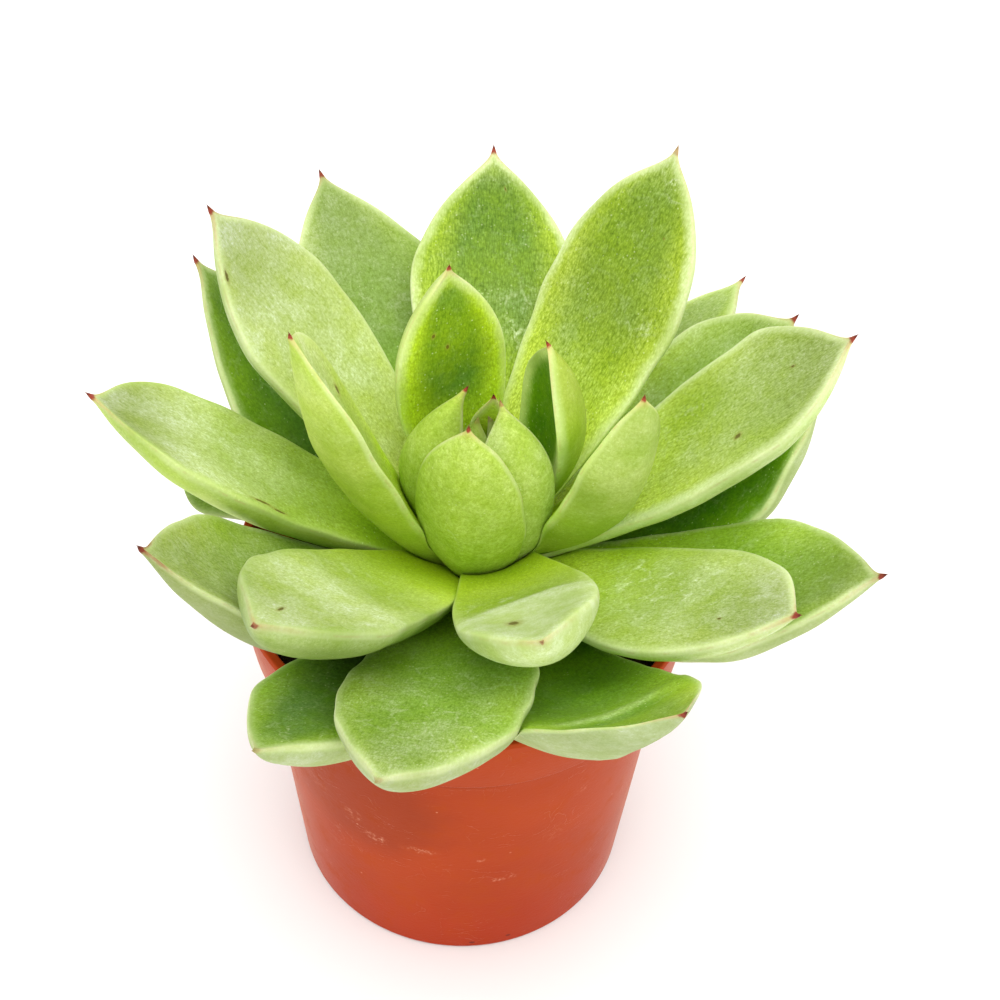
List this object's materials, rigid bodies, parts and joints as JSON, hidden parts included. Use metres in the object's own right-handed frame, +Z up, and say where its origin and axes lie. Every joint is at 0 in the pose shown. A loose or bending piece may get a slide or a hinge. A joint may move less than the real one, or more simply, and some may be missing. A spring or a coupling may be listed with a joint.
{
  "type": "potted succulent",
  "caption": "Rosette succulent with thick pointed green leaves on a short stem, in soil in a small tapered terracotta-coloured plastic nursery pot with a plain rim band.",
  "frame": {"origin": "on the pot's axis, at the flat underside of its base", "axes": "+Z up along the pot's axis; -Y is the front, the side with the low spreading leaves; +X to the right seen from the front"},
  "size_m": [0.0865, 0.0936, 0.1011],
  "materials": {
    "pot": "thin moulded plastic, terracotta colour, dusty and lightly scuffed",
    "soil": "moist peat and bark potting mix, loose and granular",
    "stem": "short woody stem, green-brown, with leaf scars",
    "leaf_outer": "waxy succulent leaf, yellow-green, darker in the middle, pale margins and a red-brown point",
    "leaf_mid": "waxy succulent leaf, light yellow-green with a pale bloom on its outer face",
    "leaf_bud": "young waxy leaf, light green with a pale bloom"
  },
  "bodies": {
    "root": {"pot": "pot", "soil": "soil", "stem": "stem", "leaf_outer_01": "leaf_outer", "leaf_outer_02": "leaf_outer", "leaf_outer_03": "leaf_outer", "leaf_outer_04": "leaf_outer", "leaf_outer_05": "leaf_outer", "leaf_outer_06": "leaf_outer", "leaf_outer_07": "leaf_outer", "leaf_outer_08": "leaf_outer", "leaf_outer_09": "leaf_outer", "leaf_outer_10": "leaf_outer", "leaf_outer_11": "leaf_outer", "leaf_outer_12": "leaf_outer", "leaf_outer_13": "leaf_outer", "leaf_outer_14": "leaf_outer", "leaf_outer_15": "leaf_outer", "leaf_outer_16": "leaf_outer", "leaf_outer_17": "leaf_outer", "leaf_outer_18": "leaf_outer", "leaf_outer_19": "leaf_outer", "leaf_mid_01": "leaf_mid", "leaf_mid_02": "leaf_mid", "leaf_mid_03": "leaf_mid", "leaf_mid_04": "leaf_mid", "leaf_bud_01": "leaf_bud", "leaf_bud_02": "leaf_bud", "leaf_bud_03": "leaf_bud", "leaf_bud_04": "leaf_bud", "leaf_bud_05": "leaf_bud", "leaf_bud_06": "leaf_bud"}
  },
  "joints": []
}
